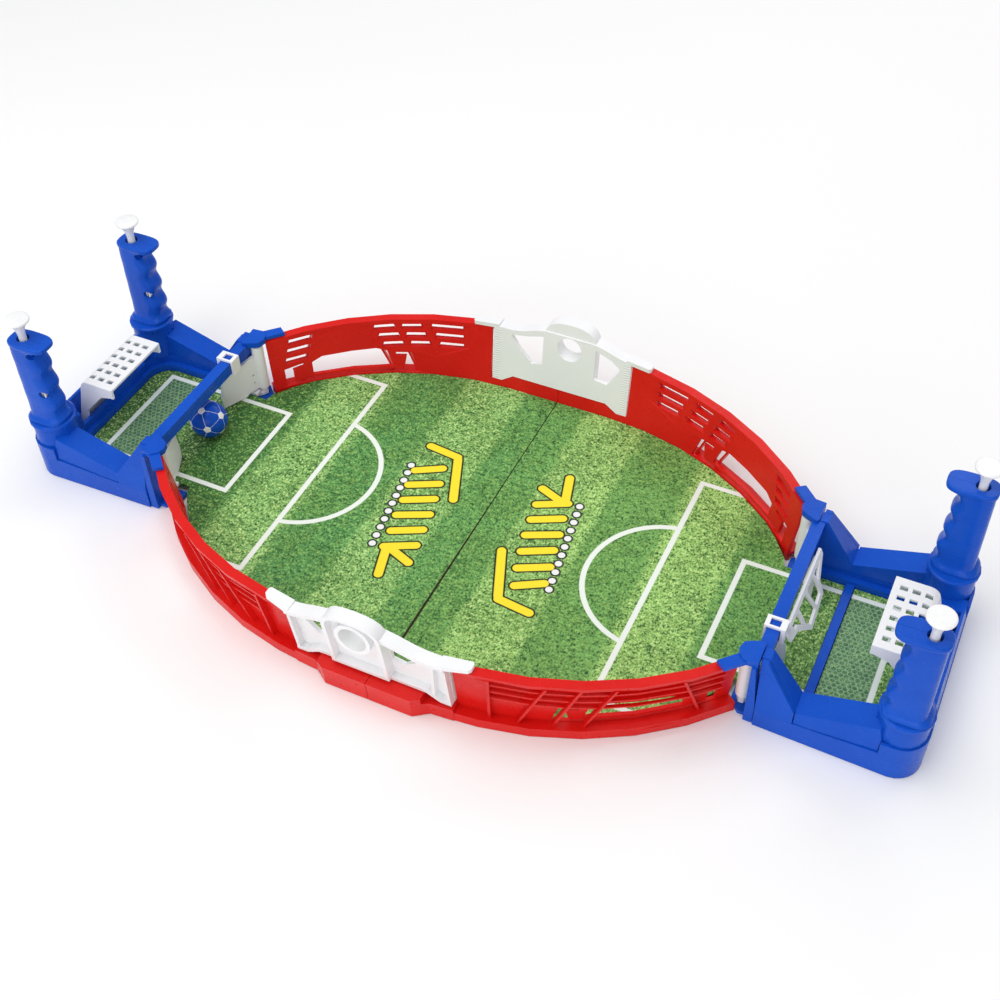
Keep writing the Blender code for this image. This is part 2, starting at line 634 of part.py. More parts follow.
def end_cover():
    """Upper shell: arms, goal posts, crossbar, grip sockets and back wall."""
    low = SEAM_Z + GAP
    pieces = [arm_cover(-1), tower(1), tower(-1)]
    pieces.append(box(CROSSBAR_X, (-47.0, 47.0), CROSSBAR_Z))
    back = [(BACK_INNER + 0.2, -40, low), (BACK_INNER + 0.2, 40, low), (262.2, -40, low), (262.2, 40, low)]
    back += [(BACK_INNER + 0.2, -40, 24), (BACK_INNER + 0.2, 40, 24), (260.6, -40, COVER_BACK_TOP)]
    back += [(260.6, 40, COVER_BACK_TOP), (248, -40, COVER_BACK_TOP), (248, 40, COVER_BACK_TOP)]
    cover = join(arm_cover(1), *pieces, cut(hull(back), box((200.0, 259.0), (-31.0, 31.0), (10.0, 40.0))))
    cutters = []
    ears = []
    x, z = CRANK_AXIS
    for side in (-1, 1):
        bore = turned([(0, 30.0), (10.2, 30.0), (10.4, 10.0), (0, 10.0)], (GRIP_X - 1.0, GRIP_Y - 0.4), 12)
        cutters.append(mirrored(bore, side))
        cutters.append(rod("z", (GRIP_X, side * GRIP_Y), GUIDE_R + 0.5, (25.0, 45.0), 12))
        cutters.append(mirrored(box((228.0, 246.0), (ARM_INNER + 2.2, 58.2), (10.0, 27.0)), side))
        cutters.append(mirrored(corner_lip(3.0, 2.2, 241.6, 37.6, (10.0, TOWER_SEAM + GAP)), side))
        # The bell crank turns between two ears that hang from the arm's roof.
        for y in (EAR_Y[0], EAR_Y[1]):
            ears.append(mirrored(box((x - 2.8, x + 2.8), y, (z - 2.8, 31.0)), side))
    cut(cover, *cutters)
    join(cover, *ears)
    spans = [sorted((side * 46.0, side * 54.0)) for side in (-1, 1)]
    return cut(cover, *[rod("y", CRANK_AXIS, CRANK_PIN_R + 0.12, span, 10) for span in spans])


EAR_Y = ((47.5, 48.4), (51.6, 53.0))


# Goal hood and net


def hood_profile(inset):
    """Side view of the hood as (x, z): level top, round shoulder and sloped back, moved in by an inset."""
    shoulder = [(x, z) for x, z in arc((241.4, 38.2), 6.0 - inset, 90, 14, 5)]
    return [(224.0, 44.2 - inset)] + shoulder + [(255.9 - inset, CHANNEL_FLOOR + 0.4)]


HOOD_HALF = 24.0
HOOD_THICK = 1.8


def goal_hood():
    """White hood over the back of the goal: perforated top, sloped back and notched end panels."""
    outer = hood_profile(0.0)
    inner = hood_profile(HOOD_THICK)
    strip = outer + inner[::-1]
    skin = plate([strip[::-1]], (-HOOD_HALF, HOOD_HALF))
    panel = outer + [(248.8, CHANNEL_FLOOR + 0.4), (248.8, 15.8), (246.8, 21.0), (233.6, 35.4), (226.2, 37.4)]
    panel.append((224.0, 37.4))
    width = (HOOD_HALF - HOOD_THICK, HOOD_HALF)
    ends = [plate([panel[::-1]], sorted((side * width[0], side * width[1]))) for side in (-1, 1)]
    upright = Matrix.Rotation(math.pi / 2, 4, "X")
    hood = transformed(join(skin, *ends), upright)
    holes = []
    for i in range(6):
        for j in range(3):
            y = -HOOD_HALF + 6.5 + 7.0 * i
            x = 227.6 + 6.3 * j
            holes.append(box((x, x + 3.9), (y - 1.5, y + 1.5), (40.0, 50.0)))
    return cut(hood, *holes)


NET_TOP = (182.6, 39.0)
NET_TILT = 0.45
NET_SHIFT = (-1.8, -2.0)
NET_OUTLINE = [(33.0, 41.0), (33.0, 38.0), (20.6, 31.0), (19.4, 24.0), (-4.0, 21.0), (-17.0, 32.0)]
NET_OUTLINE.append((-27.0, 34.0))
NET_HOLES = [
    [(28.6, 38.4), (18.6, 32.8), (17.2, 38.4)],
    [(14.6, 38.4), (16.8, 31.4), (16.4, 26.2), (8.6, 25.2), (4.4, 38.4)],
    [(1.8, 38.4), (6.4, 24.8), (-3.2, 23.6), (-7.4, 28.0), (-8.6, 38.4)],
    [(-11.0, 38.4), (-10.2, 29.4), (-15.6, 34.4), (-19.4, 35.0), (-20.4, 38.4)],
]


def goal_net():
    """White net: a square clip round the crossbar and an open lattice that hangs behind it."""
    drawing = [NET_OUTLINE + [(-27.0, 41.0)]] + NET_HOLES
    moved = [[(y + NET_SHIFT[0], z + NET_SHIFT[1]) for y, z in outline] for outline in drawing]
    lattice = plate(moved, (0.0, 1.5))
    for vert in lattice.data.vertices:
        y, z, thick = vert.co
        vert.co = (NET_TOP[0] + NET_TILT * (NET_TOP[1] - z) + thick, y, z)
    work = bmesh.new()
    work.from_mesh(lattice.data)
    bmesh.ops.recalc_face_normals(work, faces=work.faces)
    work.to_mesh(lattice.data)
    work.free()
    clip = box((173.3, 184.2), (-33.6, -26.2), (33.6, 44.6))
    x, z = [(span[0] - GAP, span[1] + GAP) for span in (CROSSBAR_X, CROSSBAR_Z)]
    hollow = box(x, (-40, -20), z)
    window = box((175.6, 181.0), (-32.2, -27.6), (40.0, 50.0))
    return join(cut(clip, hollow, window), lattice)


# Corner parts, drawn at the +Y corner of the right end


def grip_ring(z, front, back, half):
    """One level of the grip: a rounded oblong from the pitch side to the player's side."""
    points = []
    sides = 14
    for i in range(sides):
        angle = 2 * math.pi * (i + 0.5) / sides
        c, s = math.cos(angle), math.sin(angle)
        x = math.copysign(abs(c) ** 0.62, c)
        y = math.copysign(abs(s) ** 0.62, s)
        points.append(((front + back) / 2 + (back - front) / 2 * x, GRIP_Y + half * y, z))
    return points


def grip_front(z):
    """Pitch side of the grip, with its four finger hollows."""
    share = (z - GRIP_BOTTOM) / (PLATE_Z[0] - GRIP_BOTTOM)
    hollow = 1.1 - 1.1 * math.cos(2 * math.pi * 4 * share)
    return 236.2 + 2.8 * share + hollow


def grip_solid():
    """The whole outer shape of a grip."""
    base = GRIP_BOTTOM
    top = PLATE_Z[0]
    rings = [grip_ring(base, 237.2, 261.0, 9.6), grip_ring(base + 2.2, 236.4, 259.6, 8.6)]
    steps = 12
    for i in range(1, steps):
        z = base + 2.2 + (top - 2.0 - base) * i / steps
        rings.append(grip_ring(z, grip_front(z), 258.4 - 0.7 * i / steps, 7.4))
    rings.append(grip_ring(top, 234.0, 257.8, 7.4))
    rings.append(grip_ring(PLATE_Z[1] - 0.8, 232.8, 258.4, 7.8))
    rings.append(grip_ring(PLATE_Z[1], 233.6, 257.6, 7.0))
    return loft(rings)


def grip_half(outer, screwed):
    """Half of a grip, outer or inner, with or without the screw head's recess."""
    solid = grip_solid()
    away = -1 if outer else 1
    edge = GRIP_Y - away * GAP / 2
    keep_out = sorted((edge, edge + away * 40))
    centre = (GRIP_X, GRIP_Y)
    cutters = [
        box((200, 300), keep_out, (0, 200)),
        rod("z", centre, GUIDE_R, (30, 60), 12),
        rod("z", centre, BORE_R, CHAMBER, 12),
        rod("z", centre, LEDGE_R, (70, 90), 12),
        rod("z", centre, POCKET_R, (POCKET_FLOOR, 100), 12),
    ]
    for z in (SCREW_Z, SPARE_Z):
        cutters.append(rod("y", (SCREW_X, z), 1.4, (GRIP_Y - 4.4, GRIP_Y + 4.4), 8))
        if screwed:
            head = (GRIP_Y + 4.2, GRIP_Y + 12) if outer else (GRIP_Y - 12, GRIP_Y - 4.2)
            cutters.append(rod("y", (SCREW_X, z), 2.4, head, 10))
    return cut(solid, *cutters)


def grip_screw(outer):
    """Pan-head screw that holds the two halves of a grip together."""
    away = 1 if outer else -1
    ends = sorted((GRIP_Y - away * 4.0, GRIP_Y + away * 4.6))
    shank = rod("y", (SCREW_X, SCREW_Z), 1.1, ends, 10)
    head = rod("y", (SCREW_X, SCREW_Z), 2.1, sorted((GRIP_Y + away * 4.5, GRIP_Y + away * 6.0)), 12)
    slot_cut = box((SCREW_X - 0.3, SCREW_X + 0.3), sorted((GRIP_Y + away * 5.3, GRIP_Y + away * 7)), (58, 64))
    return cut(join(shank, head), slot_cut)


def push_button():
    """Disc, cone and stem in one, with the collar that the spring lifts."""
    roller_top = CRANK_AXIS[1] + CRANK_LONG * math.sin(CRANK_TILT) + ROLLER_R
    top = BUTTON_TOP
    profile = [(0, top), (DISC_R - 0.8, top), (DISC_R, top - 0.7), (DISC_R, top - 1.6), (5.6, top - 2.4)]
    profile += [(3.2, 102.6), (NECK_R, 98.4), (NECK_R, 92.4), (STEM_R, 90.8)]
    profile += [(STEM_R, 79.6), (5.2, 79.6), (5.2, 77.8), (2.9, 77.8)]
    profile += [(2.9, roller_top + 0.5), (0, roller_top + 0.5)]
    return turned(profile, (GRIP_X, GRIP_Y), 12)


def return_spring():
    """Compression spring round the stem, from the chamber's floor to the stem's collar."""
    turns = 4
    steps = 8
    low = CHAMBER[0] + 0.7
    high = 77.0
    curve = bpy.data.curves.new("coil", "CURVE")
    curve.dimensions = "3D"
    curve.bevel_depth = 0.42
    curve.bevel_resolution = 0
    curve.use_fill_caps = True
    spline = curve.splines.new("POLY")
    count = turns * steps + 1
    spline.points.add(count - 1)
    for i, point in enumerate(spline.points):
        angle = 2 * math.pi * i / steps
        z = low + (high - low) * i / (count - 1)
        point.co = (GRIP_X + 4.5 * math.cos(angle), GRIP_Y + 4.5 * math.sin(angle), z, 1.0)
    drawn = bpy.data.objects.new("coil", curve)
    GAME.objects.link(drawn)
    bpy.context.view_layer.update()
    mesh = bpy.data.meshes.new_from_object(drawn.evaluated_get(bpy.context.evaluated_depsgraph_get()))
    bpy.data.objects.remove(drawn)
    work = bmesh.new()
    work.from_mesh(mesh)
    bmesh.ops.remove_doubles(work, verts=work.verts, dist=0.001)
    return shape(work)


def bell_crank():
    """Two-armed lever on a cross pin: the long arm lies under the stem, the short arm pushes the rod."""
    x, z = CRANK_AXIS
    tilt = CRANK_TILT
    tip = (x + CRANK_LONG * math.cos(tilt), z + CRANK_LONG * math.sin(tilt))
    foot = (x + CRANK_SHORT * math.sin(tilt), z - CRANK_SHORT * math.cos(tilt))
    arms = []
    for end, wide in ((tip, (48.8, 51.2)), (foot, (49.0, 51.0))):
        along = Vector((end[0] - x, 0, end[1] - z))
        across = Vector((-along.z, 0, along.x)).normalized() * 1.1
        corners = [Vector((x, y, z)) + s * across for y in wide for s in (-1, 1)]
        corners += [Vector((end[0], y, end[1])) + s * across for y in wide for s in (-1, 1)]
        arms.append(hull(corners))
    hub = rod("y", (x, z), 2.6, (48.7, 51.3), 12)
    pin = rod("y", (x, z), CRANK_PIN_R, (47.3, 53.0), 10)
    roller = rod("y", tip, ROLLER_R, (48.6, 51.4), 10)
    toe = rod("y", foot, 1.2, (48.9, 51.1), 10)
    return join(hub, *arms, pin, roller, toe)


def push_rod():
    """Flat rod from the bell crank's toe to the flipper's crank pin, with a cross slot at each end."""
    pin_x = FLIPPER_AXIS[0] + PIN_REACH * math.sin(math.radians(30))
    toe = CRANK_AXIS[0] + CRANK_SHORT * math.sin(CRANK_TILT)
    outline = [(pin_x - 3.0, 42.3), (180.6, 42.3), (184.0, 43.95), (toe + 3.6, 43.95), (toe + 3.6, 53.4)]
    outline += [(toe - 4.2, 53.4), (toe - 10.0, 47.2), (184.0, 47.2), (180.6, 45.9), (pin_x - 3.0, 45.9)]
    window = [(toe - 1.6, 48.4), (toe + 1.6, 48.4), (toe + 1.6, 51.6), (toe - 1.6, 51.6)]
    slot_cut = [(pin_x - 1.45, 42.9), (pin_x + 1.45, 42.9), (pin_x + 1.45, 47.0), (pin_x - 1.45, 47.0)]
    return cut(plate([outline, window], ROD_Z), plate([slot_cut], (0.0, 20.0)))


def flipper():
    """White paddle with its barrel, end studs and the small crank that the rod pushes."""
    x, y = FLIPPER_AXIS
    barrel = rod("z", FLIPPER_AXIS, 3.8, (8.6, 40.4), 14)
    studs = rod("z", FLIPPER_AXIS, STUD_R, (1.2, 42.8), 12)
    reach = FLIPPER_REACH
    # Side view of the blade: u runs from the axis to the tip.
    blade = [(0.0, 8.8), (10.6, 8.8), (12.8, 6.9), (reach, 6.9), (reach + 0.6, 14.0), (reach - 1.4, 26.0)]
    blade += [(24.0, 29.0), (0.0, 34.6)]
    holes = [rod("z", (6.2, z), 0.8, (-3.0, 3.0), 8) for z in (14.6, 20.4)]
    made = cut(plate([blade], (-1.2, 1.2)), *holes)
    upright = Matrix.Rotation(math.pi / 2, 4, "X")
    aim = math.atan2(-math.cos(FLIPPER_REST), math.sin(FLIPPER_REST))
    made = transformed(made, Matrix.Translation((x, y, 0)) @ Matrix.Rotation(aim, 4, "Z") @ upright)
    swing = math.radians(30)
    pin_at = (x + PIN_REACH * math.sin(swing), y - PIN_REACH * math.cos(swing))
    crank = hull([(px, py, z) for centre, r in ((FLIPPER_AXIS, 2.6), (pin_at, 1.6)) for px, py in
                  arc(centre, r, 0, 300, 5) for z in (2.8, 4.7)])
    pin = rod("z", pin_at, 1.1, (4.2, 8.0), 10)
    neck = rod("z", FLIPPER_AXIS, 2.4, (2.9, 9.0), 10)
    return join(barrel, studs, made, crank, pin, neck)


def hinge_bracket():
    """Blue bracket: cap and strap over the flipper and the fence's end, column behind, foot below."""
    cap = [(167.0, 52.0), (168.4, 47.6), (172.0, 45.6), (177.4, 43.4), (179.4, 46.8), (178.4, 58.0)]
    cap += [(171.4, 58.6), (168.4, 56.0)]
    strap = [(171.0, 51.6), (174.0, 57.6), (164.6, 67.0), (159.6, 63.4)]
    top = plate([cap], (41.4, 45.0))
    band = plate([strap], (41.9, 44.2))
    column = hull([(x, y, z) for y in (53.0, 59.6) for x, z in ((175.8, 0.0), (180.6, 0.0), (180.6, 13.0),
                                                               (175.8, 41.6), (178.0, 41.6))])
    foot = plate([[(166.6, 43.2), (180.6, 43.2), (180.6, 57.0), (172.2, 57.0), (166.6, 51.2)]], (0.0, 2.3))
    made = join(top, band, column, foot)
    holes = [rod("z", FLIPPER_AXIS, STUD_R + 0.12, span, 12) for span in ((-1.0, 3.0), (40.0, 43.4))]
    bar = box((CROSSBAR_X[0] - GAP, 190.0), (30.0, 47.3), (30.0, CROSSBAR_Z[1] + GAP))
    post = hull([(x, y, z) for x, z in ((178.2, 46), (178.55, 40), (190, 40), (190, 46)) for y in (44.0, 56.0)])
    return cut(made, *holes, bar, post)


def ball():
    """The ball."""
    work = bmesh.new()
    bmesh.ops.create_icosphere(work, subdivisions=3, radius=BALL_R)
    bmesh.ops.translate(work, verts=work.verts, vec=BALL_AT)
    return shape(work)


def build_corner(end, side):
    """Every part of one corner of one end."""
    far = (side == 1) == (end["name"] == "right")
    tag = end["name"] + ("_far" if far else "_near")
    screw_outer = side == 1
    centre = (GRIP_X, side * GRIP_Y, 0)
    crank = (CRANK_AXIS[0], side * GRIP_Y, CRANK_AXIS[1])
    pivot = (FLIPPER_AXIS[0], side * FLIPPER_AXIS[1], 0)
    place(mirrored(grip_half(screw_outer, True), side), "grip_cover_" + tag, BLUE, end)
    place(mirrored(grip_half(not screw_outer, False), side), "grip_body_" + tag, BLUE, end)
    place(mirrored(grip_screw(screw_outer), side), "grip_screw_" + tag, STEEL, end)
    place(mirrored(push_button(), side), "push_button_" + tag, WHITE, end, centre)
    place(mirrored(return_spring(), side), "return_spring_" + tag, STEEL, end, centre)
    place(mirrored(bell_crank(), side), "bell_crank_" + tag, WHITE, end, crank)
    place(mirrored(push_rod(), side), "push_rod_" + tag, WHITE, end)
    place(mirrored(flipper(), side), "flipper_" + tag, WHITE, end, pivot)
    place(mirrored(hinge_bracket(), side), "hinge_bracket_" + tag, BLUE, end)
    place(mirrored(fence_quarter(), side), "fence_" + tag, RED, end)


def build_end(name, angle):
    """One player's end with its half of the pitch."""
    empty = bpy.data.objects.new(name + "_end", None)
    GAME.objects.link(empty)
    end = {"name": name, "empty": empty, "turn": Matrix.Rotation(angle, 4, "Z")}
    place(end_base(), "end_base_" + name, BLUE, end)
    place(end_cover(), "end_cover_" + name, BLUE, end)
    place(goal_hood(), "goal_hood_" + name, WHITE, end)
    place(goal_net(), "goal_net_" + name, WHITE, end)
    place(goal_floor(), "goal_floor_" + name, TURF, end)
    place(pitch_board(), "pitch_board_" + name, TURF, end)
    place(centre_fence(), "centre_fence_" + ("far" if name == "right" else "near"), WHITE, end)
    for side in (-1, 1):
        build_corner(end, side)


build_end("right", 0.0)
build_end("left", math.pi)
place(ball(), "ball", WHITE, pivot=BALL_AT)
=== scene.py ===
"""Looks of a small table-top football game: two players' ends with grips, push buttons and flippers, a fenced
printed pitch and a ball. The CAD model is the frame; grips, buttons and the ball get finer pieces.

Lengths are in millimetres, as in the CAD source, and MM turns them into metres. One end is drawn as the right
end and turned half a turn about Z for the left end.
"""

import math

import bmesh
import bpy
from mathutils import Matrix, Vector


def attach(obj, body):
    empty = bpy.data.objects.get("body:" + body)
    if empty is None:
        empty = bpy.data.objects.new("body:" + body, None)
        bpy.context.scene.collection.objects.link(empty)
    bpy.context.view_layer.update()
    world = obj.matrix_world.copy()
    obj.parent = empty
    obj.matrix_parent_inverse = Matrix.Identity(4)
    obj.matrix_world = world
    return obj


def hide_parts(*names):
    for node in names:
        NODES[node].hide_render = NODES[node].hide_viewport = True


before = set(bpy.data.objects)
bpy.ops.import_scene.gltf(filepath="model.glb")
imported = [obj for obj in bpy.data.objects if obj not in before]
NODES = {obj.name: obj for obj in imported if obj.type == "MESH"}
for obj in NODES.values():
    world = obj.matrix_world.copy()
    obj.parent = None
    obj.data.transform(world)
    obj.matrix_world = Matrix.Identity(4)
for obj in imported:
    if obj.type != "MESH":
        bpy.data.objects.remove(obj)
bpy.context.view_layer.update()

MM = 0.001
# Width of the moulding seam between the two halves of a grip
SEAM = 0.08

# Grip and button, as in the CAD source
GRIP_X = 250.0
GRIP_Y = 50.0
GRIP_BOTTOM = 38.9
PLATE_Z = (91.8, 95.0)
POCKET_FLOOR = 84.0
POCKET_R = 3.7
LEDGE_R = 3.4
SCREW_X = 242.0
SCREW_HOLES = (61.0, 88.4)
SCREW_HOLE_R = 1.4
SCREW_HEAD_R = 2.4
GRIP_FRONT = 236.2
GRIP_FRONT_LEAN = 2.8
GRIP_BACK = 258.4
GRIP_BACK_LEAN = 0.7
GRIP_HALF = 7.4
GRIP_LEVELS = 56
GRIP_SIDES = 56
OBLONG_POWER = 0.62
HOLLOWS = 4
HOLLOW_DEEP = 1.1
COLLAR_R = 5.2
SHANK_R = 2.9
BUTTON_TOP = 108.6
DISC_R = 6.9
STEM_R = 3.2
NECK_R = 2.2
STEM_FOOT = 20.3

# Ball
BALL_R = 11.3
BALL_AT = (-179.0, 2.0, 17.6)
PATCH_SHARE = 0.21
BALL_SEAM = 0.008
BALL_TURN = (24, 17)

# Printed pitch
LINE_WIDE = 3.0
GOAL_LINE = (144.9, 230.6, 35.6)
PENALTY_LINE = (104.2, 300.0, 82.7)
ARC_CENTRE = 112.0
ARC_R = 44.3
STRIPE_EDGES = (20.0, 59.0, 98.0, 138.0, 176.0)
NET_FROM = 204.4
MESH_CELL = 2.9
STRIPE_SOFT = 2.5
TONE_CHANGE = 60.0
GOAL_SHADE = (136.0, 146.0)

# Ridges moulded across the ends of the centre fences, and the space they fill, in metres
RIDGE_PITCH = 0.0016
RIDGES_FROM = (0.0395, 0.0405)
RIDGES_TO = (0.0450, 0.0446)
RIDGES_TOP = (0.0460, 0.0455)


# Node tools


class Nodes:
    """Builds a node tree from plain function calls. Every call returns an output socket."""

    def __init__(self, material):
        self.tree = material.node_tree

    def add(self, kind, **settings):
        node = self.tree.nodes.new(kind)
        for name, value in settings.items():
            setattr(node, name, value)
        return node

    def put(self, socket, value):
        if isinstance(value, bpy.types.NodeSocket):
            self.tree.links.new(value, socket)
        else:
            socket.default_value = value

    def math(self, operation, *values, clamp=False):
        node = self.add("ShaderNodeMath", operation=operation, use_clamp=clamp)
        for socket, value in zip(node.inputs, values):
            self.put(socket, value)
        return node.outputs[0]

    def vector(self, operation, *values):
        node = self.add("ShaderNodeVectorMath", operation=operation)
        for socket, value in zip(node.inputs, values):
            self.put(socket, value)
        return node.outputs["Value"] if operation in ("LENGTH", "DOT_PRODUCT") else node.outputs["Vector"]

    def position(self):
        return self.add("ShaderNodeTexCoord").outputs["Object"]

    def split(self, vector):
        node = self.add("ShaderNodeSeparateXYZ")
        self.put(node.inputs[0], vector)
        return node.outputs

    def join(self, x, y, z):
        node = self.add("ShaderNodeCombineXYZ")
        for socket, value in zip(node.inputs, (x, y, z)):
            self.put(socket, value)
        return node.outputs[0]

    def noise(self, vector, scale, detail=2.0, rough=0.5):
        node = self.add("ShaderNodeTexNoise")
        self.put(node.inputs["Vector"], vector)
        node.inputs["Scale"].default_value = scale
        node.inputs["Detail"].default_value = detail
        node.inputs["Roughness"].default_value = rough
        return node.outputs["Fac"]

    def ramp(self, value, low, high, start=0.0, stop=1.0):
        """A smooth step from start at low to stop at high."""
        node = self.add("ShaderNodeMapRange", interpolation_type="SMOOTHSTEP")
        for socket, given in zip(node.inputs, (value, low, high, start, stop)):
            self.put(socket, given)
        return node.outputs[0]

    def mix(self, share, low, high, blend="MIX"):
        """Mixes two colours."""
        node = self.add("ShaderNodeMix", data_type="RGBA", blend_type=blend)
        self.put(node.inputs["Factor"], share)
        for name, value in (("A", low), ("B", high)):
            socket = next(s for s in node.inputs if s.name == name and s.type == "RGBA")
            self.put(socket, value if isinstance(value, bpy.types.NodeSocket) else (*value, 1.0))
        return next(s for s in node.outputs if s.type == "RGBA")

    def bump(self, height, strength, distance, normal=None):
        node = self.add("ShaderNodeBump")
        self.put(node.inputs["Height"], height)
        node.inputs["Strength"].default_value = strength
        node.inputs["Distance"].default_value = distance
        if normal is not None:
            self.put(node.inputs["Normal"], normal)
        return node.outputs["Normal"]


def new_material(name):
    """A material with a Principled shader, its node tools and the shader."""
    material = bpy.data.materials.new(name)
    material.use_nodes = True
    return material, Nodes(material), material.node_tree.nodes["Principled BSDF"]


# Plastics and steel


def moulded(name, rgb, pale, roughness, sheen=0.22, ridged=False):
    """Injection-moulded plastic: faint flow marks in its colour, a fine matt grain and an uneven gloss.

    The colour runs from rgb to pale, and sheen is the strength of its reflections.
    """
    material, nodes, shader = new_material(name)
    place = nodes.position()
    flow = nodes.ramp(nodes.noise(place, 28.0, 3.0, 0.6), 0.3, 0.7)
    speck = nodes.ramp(nodes.noise(place, 900.0, 2.0), 0.35, 0.75)
    colour = nodes.mix(nodes.math("MULTIPLY", flow, 0.5), rgb, pale)
    colour = nodes.mix(nodes.math("MULTIPLY", speck, 0.18), colour, pale)
    nodes.put(shader.inputs["Base Color"], colour)
    gloss = nodes.noise(place, 140.0, 3.0)
    nodes.put(shader.inputs["Roughness"], nodes.ramp(gloss, 0.25, 0.75, roughness - 0.05, roughness + 0.07))
    grain = nodes.noise(place, 2400.0, 2.0)
    normal = nodes.bump(grain, 0.10, 0.00002)
    swell = nodes.noise(place, 45.0, 1.0)
    normal = nodes.bump(swell, 0.06, 0.0003, normal)
    if ridged:
        x, y, z = nodes.split(place)
        ends = nodes.ramp(nodes.math("ABSOLUTE", x), *RIDGES_FROM)
        wave = nodes.math("SINE", nodes.math("MULTIPLY", z, 2 * math.pi / RIDGE_PITCH))
        within = nodes.ramp(nodes.math("ABSOLUTE", x), *RIDGES_TO)
        inside = nodes.math("MULTIPLY", within, nodes.ramp(z, *RIDGES_TOP))
        height = nodes.math("MULTIPLY", nodes.math("MULTIPLY", wave, ends), inside)
        normal = nodes.bump(height, 0.4, 0.0003, normal)
    nodes.put(shader.inputs["Normal"], normal)
    shader.inputs["IOR"].default_value = 1.46
    shader.inputs["Specular IOR Level"].default_value = sheen
    return material


BLUE = moulded("blue_plastic_moulded", (0.004, 0.072, 0.500), (0.009, 0.100, 0.600), 0.24, 0.18)
RED = moulded("red_plastic_moulded", (0.660, 0.0070, 0.0060), (0.780, 0.0170, 0.0120), 0.30, 0.25)
WHITE = moulded("white_plastic_moulded", (0.860, 0.865, 0.880), (0.920, 0.922, 0.930), 0.36, 0.4)
RIDGED_WHITE = moulded("white_plastic_ridged", (0.860, 0.865, 0.880), (0.920, 0.922, 0.930), 0.36, 0.4, True)


def button_plastic():
    """The buttons' milky plastic, which lets a little light through."""
    material, nodes, shader = new_material("button_plastic_milky")
    place = nodes.position()
    flow = nodes.ramp(nodes.noise(place, 60.0, 3.0), 0.3, 0.7)
    nodes.put(shader.inputs["Base Color"], nodes.mix(flow, (0.80, 0.81, 0.82), (0.90, 0.90, 0.90)))
    nodes.put(shader.inputs["Roughness"], nodes.ramp(nodes.noise(place, 200.0), 0.2, 0.8, 0.22, 0.36))
    nodes.put(shader.inputs["Normal"], nodes.bump(nodes.noise(place, 1800.0), 0.08, 0.0001))
    shader.inputs["Subsurface Weight"].default_value = 0.35
    shader.inputs["Subsurface Radius"].default_value = (0.004, 0.004, 0.004)
    shader.inputs["Subsurface Scale"].default_value = 1.0
    return material


def screw_steel():
    """Bright steel with drawn streaks."""
    material, nodes, shader = new_material("steel_zinc")
    place = nodes.position()
    streak = nodes.noise(nodes.vector("MULTIPLY", place, (400.0, 400.0, 3000.0)), 1.0, 3.0)
    nodes.put(shader.inputs["Base Color"], nodes.mix(streak, (0.46, 0.46, 0.48), (0.72, 0.72, 0.73)))
    nodes.put(shader.inputs["Roughness"], nodes.ramp(streak, 0.2, 0.8, 0.22, 0.42))
    nodes.put(shader.inputs["Normal"], nodes.bump(streak, 0.15, 0.00005))
    shader.inputs["Metallic"].default_value = 1.0
    return material


MILKY = button_plastic()
STEEL = screw_steel()


# Printed pitch


def band(nodes, distance, half, soft=0.25):
    """1 within half a width of a line, 0 outside it; all in millimetres."""
    return nodes.ramp(nodes.math("ABSOLUTE", distance), half + soft, half - soft)


def frame_line(nodes, x, y, limits):
    """Signed distance to the edge of a box: x from limits 0 to 1, y within limits 2."""
    near, far, half = limits
    along = nodes.math("MAXIMUM", nodes.math("SUBTRACT", near, x), nodes.math("SUBTRACT", x, far))
    across = nodes.math("SUBTRACT", nodes.math("ABSOLUTE", y), half)
    return nodes.math("MAXIMUM", along, across)


def bar_distance(nodes, place, start, stop):
    """Distance to a straight bar between two points of the pitch."""
    span = Vector((stop[0] - start[0], stop[1] - start[1], 0.0))
    away = nodes.vector("SUBTRACT", place, (start[0], start[1], 0.0))
    along = nodes.vector("DOT_PRODUCT", away, tuple(span))
    share = nodes.math("DIVIDE", along, span.length_squared, clamp=True)
    scale = nodes.add("ShaderNodeVectorMath", operation="SCALE")
    scale.inputs[0].default_value = tuple(span)
    nodes.put(scale.inputs["Scale"], share)
    return nodes.vector("LENGTH", nodes.vector("SUBTRACT", away, scale.outputs[0]))


def honeycomb(nodes, x, y, cell):
    """Distance from the middle of the nearest hexagon, 0.5 at its edge."""
    root = math.sqrt(3.0)
    place = nodes.join(nodes.math("DIVIDE", x, cell), nodes.math("DIVIDE", y, cell), 0.0)
    step = (1.0, root, 1.0)
    half = (0.5, root / 2, 0.0)

    def folded(at):
        node = nodes.add("ShaderNodeVectorMath", operation="WRAP")
        nodes.put(node.inputs[0], at)
        node.inputs[1].default_value = (0.5, root / 2, 0.5)
        node.inputs[2].default_value = (-0.5, -root / 2, -0.5)
        return node.outputs[0]

    def reach(at):
        away = nodes.vector("ABSOLUTE", folded(at))
        flat = nodes.split(away)
        slant = nodes.vector("DOT_PRODUCT", away, (0.5, root / 2, 0.0))
        return nodes.math("MAXIMUM", flat[0], slant)

    return nodes.math("MINIMUM", reach(place), reach(nodes.vector("ADD", place, half)))


